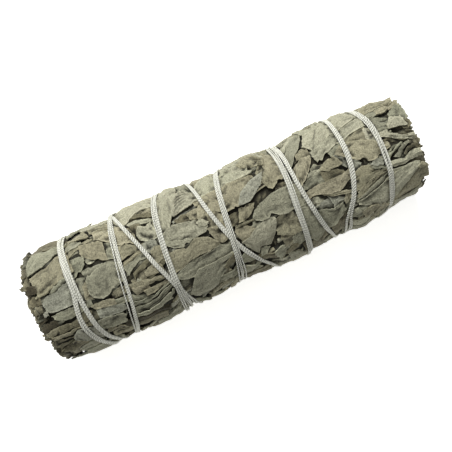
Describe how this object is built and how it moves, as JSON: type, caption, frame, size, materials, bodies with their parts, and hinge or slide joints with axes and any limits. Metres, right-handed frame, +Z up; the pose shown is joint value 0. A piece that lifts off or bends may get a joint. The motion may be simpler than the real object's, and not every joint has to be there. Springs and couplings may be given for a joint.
{
  "type": "sage smudge stick",
  "caption": "Round bundle of dried leafy sage stems with folded, overlapping leaves, bound along its length by crossing turns of cotton thread; lies on its side.",
  "frame": {"origin": "centre of the bounding box at the surface that the stick lies on", "axes": "+X along the stick towards its rounder tip end, -X towards the squarely cut butt end, +Z up from the surface it lies on"},
  "size_m": [0.1063, 0.0328, 0.031],
  "materials": {
    "sage_leaf": "matt, felty dried leaf, grey-green",
    "sage_wood": "dry, rough, brown",
    "cotton_thread": "matt twisted cotton, off-white"
  },
  "bodies": {
    "root": {"leafy_stem_1": "sage_leaf", "leafy_stem_2": "sage_leaf", "leafy_stem_3": "sage_leaf", "leafy_stem_4": "sage_leaf", "leafy_stem_5": "sage_leaf", "leafy_stem_6": "sage_leaf", "woody_stem_1": "sage_wood", "woody_stem_2": "sage_wood", "woody_stem_3": "sage_wood", "woody_stem_4": "sage_wood", "woody_stem_5": "sage_wood", "woody_stem_6": "sage_wood", "binding_thread": "cotton_thread"}
  },
  "joints": []
}
